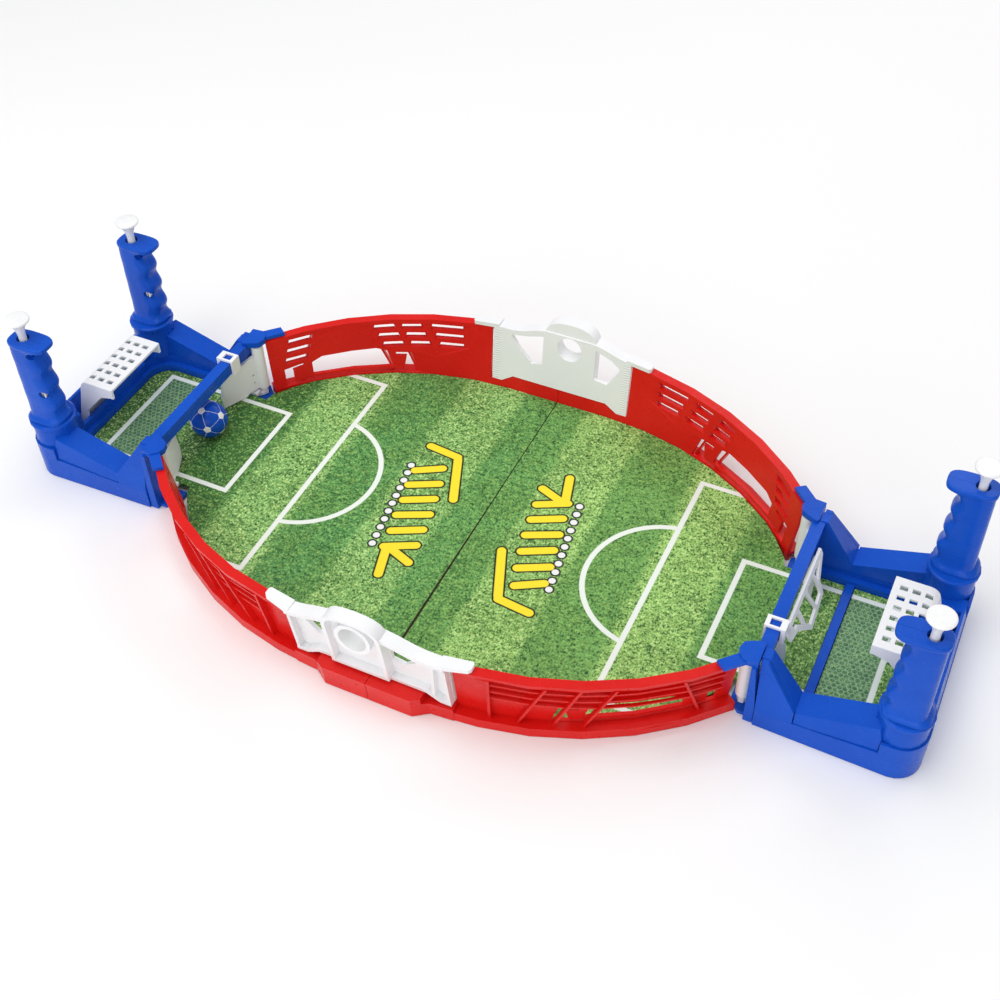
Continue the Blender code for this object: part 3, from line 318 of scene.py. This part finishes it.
# Generic graphic, on the right half: slanted bars between two long strokes, and a row of dots.
YELLOW_BARS = [
    ((34.0, -44.0), (53.0, -46.0)),
    ((33.0, -42.0), (21.0, -12.0)),
    ((38.0, -32.0), (52.0, -24.0)),
    ((34.0, -20.0), (50.0, -12.0)),
    ((31.0, -8.0), (47.0, 0.0)),
    ((28.0, 4.0), (45.0, 12.0)),
    ((26.0, 16.0), (42.0, 24.0)),
    ((24.0, 28.0), (40.0, 36.0)),
    ((22.0, 41.0), (38.0, 35.0)),
    ((38.0, 37.0), (33.0, 55.0)),
]
YELLOW_HALF = 2.5
OUTLINE = 1.0
DOT_ROW = ((56.5, -30.0), (46.5, 40.0))
DOT_STEP = 6.4
DOT_R = 2.0


def graphic(nodes, place, colour):
    """Adds the bars and the dots to the pitch colour. The place is in millimetres, on the right half."""
    bars = None
    for start, stop in YELLOW_BARS:
        distance = bar_distance(nodes, place, start, stop)
        bars = distance if bars is None else nodes.math("MINIMUM", bars, distance)
    start, stop = Vector(DOT_ROW[0]), Vector(DOT_ROW[1])
    along = (stop - start).normalized()
    away = nodes.vector("SUBTRACT", place, (*start, 0.0))
    u = nodes.vector("DOT_PRODUCT", away, (along.x, along.y, 0.0))
    v = nodes.vector("DOT_PRODUCT", away, (-along.y, along.x, 0.0))
    beat = nodes.math("SUBTRACT", nodes.math("FLOORED_MODULO", u, DOT_STEP), DOT_STEP / 2)
    dots = nodes.vector("LENGTH", nodes.join(beat, v, 0.0))
    row_end = nodes.math("LESS_THAN", u, (stop - start).length)
    inside = nodes.math("MULTIPLY", nodes.math("GREATER_THAN", u, 0.0), row_end)
    black = nodes.ramp(bars, YELLOW_HALF + OUTLINE + 0.3, YELLOW_HALF + OUTLINE - 0.3)
    ring = nodes.math("MULTIPLY", nodes.ramp(dots, DOT_R + OUTLINE + 0.3, DOT_R + OUTLINE - 0.3), inside)
    colour = nodes.mix(nodes.math("MAXIMUM", black, ring), colour, (0.010, 0.012, 0.008))
    yellow = nodes.ramp(bars, YELLOW_HALF + 0.3, YELLOW_HALF - 0.3)
    colour = nodes.mix(yellow, colour, (0.960, 0.780, 0.030))
    white = nodes.math("MULTIPLY", nodes.ramp(dots, DOT_R + 0.3, DOT_R - 0.3), inside)
    return nodes.mix(white, colour, (0.86, 0.88, 0.86))


# Tones of the light stripes, the dark stripes and the goal areas, at the left and at the right end; the goal
# areas' tone is printed green with painted shade, near black at the left end
LIGHT = ((0.235, 0.500, 0.140), (0.320, 0.590, 0.150))
DARK = ((0.095, 0.300, 0.085), (0.160, 0.380, 0.095))
GOAL_SHADED_GREEN = ((0.016, 0.095, 0.018), (0.130, 0.340, 0.085))


def printed_turf():
    """A glossy print of mown grass with white lines, a net pattern in the goals and a generic graphic."""
    material, nodes, shader = new_material("printed_turf_sheet")
    place = nodes.vector("MULTIPLY", nodes.position(), (1000.0, 1000.0, 1000.0))
    x, y = nodes.split(place)[:2]
    side = nodes.math("SIGN", x)
    right = nodes.ramp(x, -TONE_CHANGE, TONE_CHANGE)
    ax = nodes.math("ABSOLUTE", x)
    turned = nodes.join(ax, nodes.math("MULTIPLY", y, side), 0.0)

    # Mown stripes with uneven edges
    drift = nodes.math("MULTIPLY", nodes.math("SUBTRACT", nodes.noise(place, 0.09, 3.0, 0.7), 0.5), 9.0)
    edge = nodes.math("ADD", ax, drift)
    light = None
    for i, limit in enumerate(STRIPE_EDGES):
        rise = nodes.ramp(edge, limit - STRIPE_SOFT, limit + STRIPE_SOFT)
        signed = nodes.math("MULTIPLY", rise, 1.0 if i % 2 == 0 else -1.0)
        light = signed if light is None else nodes.math("ADD", light, signed)
    dark_tone = nodes.mix(right, DARK[0], DARK[1])
    light_tone = nodes.mix(right, LIGHT[0], LIGHT[1])
    colour = nodes.mix(light, dark_tone, light_tone)
    # Painted shade: the goal areas are darkened towards the goal, far more at the left end
    goal_shade_share = nodes.ramp(edge, *GOAL_SHADE)
    shaded_goal_tone = nodes.mix(right, GOAL_SHADED_GREEN[0], GOAL_SHADED_GREEN[1])
    colour = nodes.mix(nodes.math("MULTIPLY", goal_shade_share, 0.8), colour, shaded_goal_tone)

    # Grass: broad patches, clumps, tufts and single blades
    patch = nodes.noise(place, 0.045, 3.0, 0.6)
    tuft = nodes.noise(place, 0.30, 3.0, 0.7)
    fine = nodes.noise(nodes.vector("MULTIPLY", place, (1.0, 0.75, 1.0)), 0.85, 3.0, 0.75)
    coarse = nodes.noise(nodes.vector("MULTIPLY", place, (0.8, 1.0, 1.0)), 0.36, 3.0, 0.8)
    blade = nodes.math("ADD", nodes.math("MULTIPLY", fine, 0.62), nodes.math("MULTIPLY", coarse, 0.38))
    clump = nodes.noise(place, 0.10, 3.0, 0.6)
    colour = nodes.mix(nodes.ramp(patch, 0.35, 0.65, 0.0, 0.45), colour, (0.110, 0.240, 0.045))
    colour = nodes.mix(nodes.ramp(clump, 0.52, 0.68, 0.0, 0.42), colour, (0.035, 0.140, 0.030))
    dark_blades = nodes.ramp(blade, 0.505, 0.40, 0.0, 1.0)
    colour = nodes.mix(dark_blades, colour, (0.020, 0.085, 0.018))
    bright_blades = nodes.ramp(blade, 0.51, 0.60, 0.0, 0.85)
    bright = nodes.mix(light, (0.300, 0.580, 0.150), (0.640, 0.880, 0.330))
    colour = nodes.mix(bright_blades, colour, bright)
    colour = nodes.mix(nodes.ramp(tuft, 0.52, 0.70, 0.0, 0.35), colour, (0.330, 0.480, 0.110))

    # Net print on the goal's floor
    cell = honeycomb(nodes, x, y, MESH_CELL)
    strand = nodes.ramp(cell, 0.37, 0.44)
    past_bar = nodes.math("GREATER_THAN", ax, NET_FROM)
    zone = nodes.math("MULTIPLY", past_bar, nodes.math("LESS_THAN", ax, GOAL_LINE[1]))
    zone = nodes.math("MULTIPLY", zone, nodes.math("LESS_THAN", nodes.math("ABSOLUTE", y), GOAL_LINE[2]))
    netted = nodes.mix(0.55, colour, (0.050, 0.170, 0.080))
    netted = nodes.mix(nodes.math("MULTIPLY", strand, 0.50), netted, (0.420, 0.560, 0.460))
    colour = nodes.mix(zone, colour, netted)
    colour = graphic(nodes, turned, colour)

    # White lines
    half = LINE_WIDE / 2
    goal = band(nodes, frame_line(nodes, ax, y, GOAL_LINE), half)
    penalty = band(nodes, frame_line(nodes, ax, y, PENALTY_LINE), half)
    from_arc = nodes.vector("LENGTH", nodes.join(nodes.math("SUBTRACT", ax, ARC_CENTRE), y, 0.0))
    ring = band(nodes, nodes.math("SUBTRACT", from_arc, ARC_R), half)
    ring = nodes.math("MULTIPLY", ring, nodes.math("LESS_THAN", ax, PENALTY_LINE[0]))
    lines = nodes.math("MAXIMUM", nodes.math("MAXIMUM", goal, penalty), ring)
    colour = nodes.mix(lines, colour, (0.840, 0.900, 0.830))
    # Painted shade: the gap between the two sheets is painted as a dark line, standing in for the shadow inside
    # it, wider at the near side
    shaded_gap_half = nodes.ramp(y, 60.0, -100.0, 0.25, 0.75)
    seam = nodes.ramp(nodes.math("SUBTRACT", ax, shaded_gap_half), 0.25, -0.15, 0.0, 0.92)
    colour = nodes.mix(seam, colour, (0.030, 0.012, 0.006))
    nodes.put(shader.inputs["Base Color"], colour)
    nodes.put(shader.inputs["Roughness"], nodes.ramp(tuft, 0.3, 0.7, 0.50, 0.66))
    nodes.put(shader.inputs["Normal"], nodes.bump(blade, 0.15, 0.0002))
    shader.inputs["Specular IOR Level"].default_value = 0.25
    return material


TURF = printed_turf()


# CAD nodes that stay: material, soft edges and even shading


def finish_node(name, material, edge):
    """Gives a CAD node its finish and rounds its edges a little, without touching its points."""
    node = NODES[name]
    mesh = node.data
    if "custom_normal" in mesh.attributes:
        mesh.attributes.remove(mesh.attributes["custom_normal"])
    mesh.shade_smooth()
    mesh.materials.clear()
    mesh.materials.append(material)
    weld = node.modifiers.new("weld", "WELD")
    weld.merge_threshold = 0.00001
    flat = node.modifiers.new("flat_faces", "DECIMATE")
    flat.decimate_type = "DISSOLVE"
    flat.angle_limit = math.radians(1.0)
    bevel = node.modifiers.new("edges", "BEVEL")
    bevel.width = edge * MM
    bevel.segments = 2
    bevel.limit_method = "ANGLE"
    bevel.angle_limit = math.radians(30)
    bevel.use_clamp_overlap = True
    weighted = node.modifiers.new("shading", "WEIGHTED_NORMAL")
    weighted.mode = "FACE_AREA"
    weighted.weight = 80


FINISHES = [
    ("fence", RED, "red_plastic", 0.35),
    ("centre_fence", RIDGED_WHITE, "white_plastic", 0.6),
    ("end_base", BLUE, "blue_plastic", 0.8),
    ("end_cover", BLUE, "blue_plastic", 0.8),
    ("hinge_bracket", BLUE, "blue_plastic", 0.5),
    ("goal_hood", WHITE, "white_plastic", 0.4),
    ("goal_net", WHITE, "white_plastic", 0.25),
    ("goal_floor", TURF, "printed_turf", 0.15),
    ("pitch_board", TURF, "printed_turf", 0.15),
    ("grip_screw", STEEL, "steel", 0.1),
    ("return_spring", STEEL, "steel", 0.05),
    ("bell_crank", WHITE, "white_plastic", 0.15),
    ("push_rod", WHITE, "white_plastic", 0.2),
    ("flipper", WHITE, "white_plastic", 0.35),
]
for start, material, slot, edge in FINISHES:
    for name in sorted(NODES):
        if name.startswith(start + "_"):
            finish_node(name, material, edge)


# Finer pieces


def piece(work, name, materials):
    """An object from a bmesh drawn in millimetres."""
    mesh = bpy.data.meshes.new(name)
    bmesh.ops.recalc_face_normals(work, faces=work.faces)
    bmesh.ops.scale(work, verts=work.verts, vec=(MM, MM, MM))
    work.to_mesh(mesh)
    work.free()
    for material in materials:
        mesh.materials.append(material)
    made = bpy.data.objects.new(name, mesh)
    bpy.context.scene.collection.objects.link(made)
    return made


def shaded(made, edge):
    """Smooth shading with softly rounded edges."""
    made.data.shade_smooth()
    bevel = made.modifiers.new("edges", "BEVEL")
    bevel.width = edge * MM
    bevel.segments = 2
    bevel.limit_method = "ANGLE"
    bevel.angle_limit = math.radians(35)
    weighted = made.modifiers.new("shading", "WEIGHTED_NORMAL")
    weighted.mode = "FACE_AREA"
    weighted.weight = 80
    return made


def turned(profile, centre, sides):
    """A solid of revolution about Z."""
    work = bmesh.new()
    rings = []
    for radius, z in profile:
        if radius == 0:
            rings.append([work.verts.new((centre[0], centre[1], z))])
            continue
        ring = []
        for i in range(sides):
            angle = 2 * math.pi * i / sides
            place = (centre[0] + radius * math.cos(angle), centre[1] + radius * math.sin(angle), z)
            ring.append(work.verts.new(place))
        rings.append(ring)
    for low, high in zip(rings, rings[1:]):
        for i in range(sides):
            j = (i + 1) % sides
            corners = [low[i % len(low)], low[j % len(low)], high[j % len(high)], high[i % len(high)]]
            work.faces.new(list(dict.fromkeys(corners)))
    return work


def grip_ring(z, front, back, half):
    """One level of the grip: a rounded oblong."""
    points = []
    for i in range(GRIP_SIDES):
        angle = 2 * math.pi * (i + 0.5) / GRIP_SIDES
        c, s = math.cos(angle), math.sin(angle)
        x = math.copysign(abs(c) ** OBLONG_POWER, c)
        y = math.copysign(abs(s) ** OBLONG_POWER, s)
        points.append(((front + back) / 2 + (back - front) / 2 * x, GRIP_Y + half * y, z))
    return points


def grip_levels():
    """Every level of a grip from its foot to its top plate, as (height, front, back, half width)."""
    base, top, crown = GRIP_BOTTOM, PLATE_Z[0], PLATE_Z[1]
    levels = [(base, 237.2, 261.0, 9.6), (base + 1.0, 236.9, 260.6, 9.4), (base + 2.2, 236.6, 259.5, 8.6)]
    for i in range(1, GRIP_LEVELS):
        z = base + 2.2 + (top - 2.2 - base) * i / GRIP_LEVELS
        share = (z - base) / (top - base)
        hollow = HOLLOW_DEEP - HOLLOW_DEEP * math.cos(2 * math.pi * HOLLOWS * share)
        foot = 1.2 * math.exp(-(z - base - 2.2) / 2.0)
        head = 2.6 * max(0.0, (z - top + 3.0) / 3.0) ** 2
        front = GRIP_FRONT + GRIP_FRONT_LEAN * share + hollow - head
        levels.append((z, front, GRIP_BACK - GRIP_BACK_LEAN * share, GRIP_HALF + foot * 0.8))
    levels += [(top, 233.8, 257.9, GRIP_HALF), (top + 0.5, 233.1, 258.3, 7.75), (top + 1.4, 232.9, 258.4, 7.8)]
    levels += [(crown - 0.9, 232.9, 258.4, 7.8), (crown - 0.4, 233.0, 258.2, 7.6)]
    levels += [(crown - 0.1, 233.3, 257.9, 7.3), (crown, 233.8, 257.4, 6.8)]
    return levels


def cylinder(axis, centre, radius, span, sides=32):
    """A cylinder along Y or Z, for cutting with."""
    work = bmesh.new()
    low, high = span
    middle = (low + high) / 2
    if axis == "y":
        matrix = Matrix.Translation((centre[0], middle, centre[1])) @ Matrix.Rotation(-math.pi / 2, 4, "X")
    else:
        matrix = Matrix.Translation((centre[0], centre[1], middle))
    bmesh.ops.create_cone(
        work, cap_ends=True, segments=sides, radius1=radius, radius2=radius, depth=high - low, matrix=matrix
    )
    return piece(work, "cutter", [])


def carve(made, cutters):
    """Cuts solids from a piece."""
    for cutter in cutters:
        step = made.modifiers.new("cut", "BOOLEAN")
        step.operation = "DIFFERENCE"
        step.solver = "EXACT"
        step.object = cutter
        bpy.context.view_layer.update()
        mesh = bpy.data.meshes.new_from_object(made.evaluated_get(bpy.context.evaluated_depsgraph_get()))
        made.modifiers.clear()
        made.data = mesh
        bpy.data.objects.remove(cutter)
    return made


def grip_half(outer, screwed):
    """Half of a grip, cut at its moulding seam, with its screw holes and the pocket round the button's stem."""
    work = bmesh.new()
    rows = [[work.verts.new(p) for p in grip_ring(*level)] for level in grip_levels()]
    for low, high in zip(rows, rows[1:]):
        for i in range(len(low)):
            j = (i + 1) % len(low)
            work.faces.new((low[i], low[j], high[j], high[i]))
    work.faces.new(rows[0][::-1])
    work.faces.new(rows[-1])
    away = 1 if outer else -1
    seam = GRIP_Y + away * SEAM / 2
    geometry = work.verts[:] + work.edges[:] + work.faces[:]
    cut = bmesh.ops.bisect_plane(
        work, geom=geometry, plane_co=(0, seam, 0), plane_no=(0, away, 0), clear_inner=True
    )
    edges = [e for e in cut["geom_cut"] if isinstance(e, bmesh.types.BMEdge)]
    bmesh.ops.edgeloop_fill(work, edges=edges)
    made = piece(work, "grip", [BLUE])
    cutters = [
        cylinder("z", (GRIP_X, GRIP_Y), LEDGE_R, (70, 90)),
        cylinder("z", (GRIP_X, GRIP_Y), POCKET_R, (POCKET_FLOOR, 100)),
    ]
    for z in SCREW_HOLES:
        cutters.append(cylinder("y", (SCREW_X, z), SCREW_HOLE_R, (GRIP_Y - 4.4, GRIP_Y + 4.4), 16))
        if screwed:
            reach = (GRIP_Y + 4.2, GRIP_Y + 12) if outer else (GRIP_Y - 12, GRIP_Y - 4.2)
            cutters.append(cylinder("y", (SCREW_X, z), SCREW_HEAD_R, reach, 24))
    return carve(made, cutters)


def button_shape():
    """Disc, cone, stem and collar of a push button, with rounded rims, as (radius, height)."""
    top = BUTTON_TOP
    profile = [(0, top), (5.7, top), (6.4, top - 0.15), (6.75, top - 0.45), (DISC_R, top - 0.9)]
    profile += [(DISC_R, top - 1.4), (6.6, top - 1.9), (5.6, top - 2.4), (4.3, 104.2), (3.3, 102.5)]
    profile += [(2.6, 100.2), (NECK_R, 98.2), (NECK_R, 92.4), (STEM_R, 90.8), (STEM_R, 79.6)]
    profile += [(COLLAR_R, 79.6), (COLLAR_R, 77.8), (SHANK_R, 77.8), (SHANK_R, STEM_FOOT), (0, STEM_FOOT)]
    return piece(turned(profile, (GRIP_X, GRIP_Y), 48), "button", [MILKY])


def football():
    """The ball: twenty blue panels and twelve pale ones, with pale seams, each panel slightly crowned."""
    work = bmesh.new()
    bmesh.ops.create_icosphere(work, subdivisions=1, radius=1.0)
    edge = work.edges[:][0].calc_length()
    bmesh.ops.bevel(work, geom=work.verts[:], offset=edge * PATCH_SHARE, segments=1, affect="VERTICES")
    bmesh.ops.remove_doubles(work, verts=work.verts, dist=0.001)
    blue = [f for f in work.faces if len(f.verts) == 6]
    for face in work.faces:
        face.material_index = 1
    for face in blue:
        face.material_index = 0
    rim = bmesh.ops.inset_individual(work, faces=blue, thickness=BALL_SEAM, use_even_offset=True)
    for face in rim["faces"]:
        face.material_index = 1
    bmesh.ops.triangulate(work, faces=[f for f in work.faces if len(f.verts) == 4])
    bmesh.ops.poke(work, faces=[f for f in work.faces if len(f.verts) > 3])
    bmesh.ops.subdivide_edges(work, edges=work.edges[:], cuts=4, use_grid_fill=True)
    tilt, spin = (math.radians(angle) for angle in BALL_TURN)
    turn = Matrix.Rotation(tilt, 3, "X") @ Matrix.Rotation(spin, 3, "Z")
    for vert in work.verts:
        vert.co = turn @ vert.co.normalized() * (BALL_R - 0.01)
    bmesh.ops.translate(work, verts=work.verts, vec=BALL_AT)
    made = piece(work, "ball_panels", [BLUE, WHITE])
    made.data.shade_smooth()
    return made


def at_corner(source, name, side, left):
    """A copy of a piece drawn at the right end's +Y corner, at another corner."""
    mesh = source.data.copy()
    mesh.transform(Matrix.Diagonal((1, side, 1, 1)))
    if side < 0:
        mesh.flip_normals()
    if left:
        mesh.transform(Matrix.Rotation(math.pi, 4, "Z"))
    made = bpy.data.objects.new(name, mesh)
    bpy.context.scene.collection.objects.link(made)
    return made


HALVES = {}
for outer in (True, False):
    for screwed in (True, False):
        HALVES[outer, screwed] = grip_half(outer, screwed)
BUTTON = button_shape()
for left in (False, True):
    for side in (1, -1):
        end = "left" if left else "right"
        far = (side == 1) != left
        tag = end + ("_far" if far else "_near")
        screw_outer = side == 1
        for outer in (True, False):
            screwed = outer == screw_outer
            kind = "cover" if screwed else "body"
            half = at_corner(HALVES[outer, screwed], f"grip_{kind}_fine_{tag}", side, left)
            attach(shaded(half, 0.3), "table")
            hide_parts(f"grip_{kind}_{tag}")
        button = at_corner(BUTTON, f"push_button_fine_{tag}", side, left)
        button.data.shade_smooth()
        button.data.set_sharp_from_angle(angle=math.radians(50))
        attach(button, "button_" + tag)
        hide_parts("push_button_" + tag)
for source in [*HALVES.values(), BUTTON]:
    bpy.data.objects.remove(source)
BALL = football()
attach(BALL, "ball")
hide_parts("ball")


# Stage, light and camera


def floor():
    """A wide pale floor."""
    work = bmesh.new()
    bmesh.ops.create_grid(work, x_segments=8, y_segments=8, size=4000.0)
    bmesh.ops.translate(work, verts=work.verts, vec=(0, 0, -0.3))
    material, nodes, shader = new_material("pale_floor")
    tone = nodes.noise(nodes.position(), 3.0)
    nodes.put(shader.inputs["Base Color"], nodes.mix(tone, (0.93, 0.93, 0.93), (0.95, 0.95, 0.95)))
    nodes.put(shader.inputs["Roughness"], nodes.ramp(tone, 0.3, 0.7, 0.85, 0.95))
    shader.inputs["Specular IOR Level"].default_value = 0.1
    return piece(work, "floor", [material])


floor()


def area_light(name, place, aim, size, power):
    """A large soft lamp."""
    lamp = bpy.data.lights.new(name, "AREA")
    lamp.shape = "RECTANGLE"
    lamp.size, lamp.size_y = size
    lamp.energy = power
    lit = bpy.data.objects.new(name, lamp)
    lit.location = place
    lit.rotation_mode = "QUATERNION"
    lit.rotation_quaternion = (Vector(aim) - Vector(place)).to_track_quat("-Z", "Y")
    bpy.context.scene.collection.objects.link(lit)


# Name, place, aim, size and power, in metres and watts
area_light("key_light", (-0.4, -0.3, 1.5), (0, 0, 0), (1.5, 1.5), 15.5)
area_light("front_light", (0.3, -1.8, 0.7), (0, 0, 0.02), (2.0, 1.0), 12.0)
area_light("back_light", (0.4, 1.3, 1.0), (0, 0, 0.02), (1.4, 0.8), 6.0)

# The surroundings are nearly white to look at and light the object more softly
AMBIENT = 0.45
BACKDROP = 0.98
WORLD = bpy.data.worlds.new("studio")
WORLD.use_nodes = True
SKY = WORLD.node_tree.nodes["Background"]
SKY.inputs["Color"].default_value = (1.0, 1.0, 1.0, 1.0)
RAYS = WORLD.node_tree.nodes.new("ShaderNodeLightPath")
POWER = WORLD.node_tree.nodes.new("ShaderNodeMapRange")
POWER.inputs["To Min"].default_value = AMBIENT
POWER.inputs["To Max"].default_value = BACKDROP
WORLD.node_tree.links.new(RAYS.outputs["Is Camera Ray"], POWER.inputs["Value"])
WORLD.node_tree.links.new(POWER.outputs[0], SKY.inputs["Strength"])
bpy.context.scene.world = WORLD
bpy.context.scene.view_settings.view_transform = "Standard"

# The camera stands before the right end, above the near side; its three directions in space
CAMERA_PLACE = (0.24532, -0.46175, 0.56853)
ACROSS = Vector((0.90353, 0.42807, -0.01973))
DOWN = Vector((0.29619, -0.65711, -0.69316))
AHEAD = Vector((-0.30968, 0.62045, -0.72051))
FOCAL_LENGTH = 49.194
SENSOR = 36.0
CAMERA = bpy.data.cameras.new("camera")
CAMERA.sensor_width = SENSOR
CAMERA.lens = FOCAL_LENGTH
CAMERA.clip_start, CAMERA.clip_end = 0.01, 20.0
VIEWER = bpy.data.objects.new("camera", CAMERA)
TURN = Matrix((ACROSS, -DOWN, -AHEAD)).transposed()
VIEWER.matrix_world = Matrix.Translation(CAMERA_PLACE) @ TURN.to_4x4()
bpy.context.scene.collection.objects.link(VIEWER)
bpy.context.scene.camera = VIEWER

bpy.context.view_layer.update()
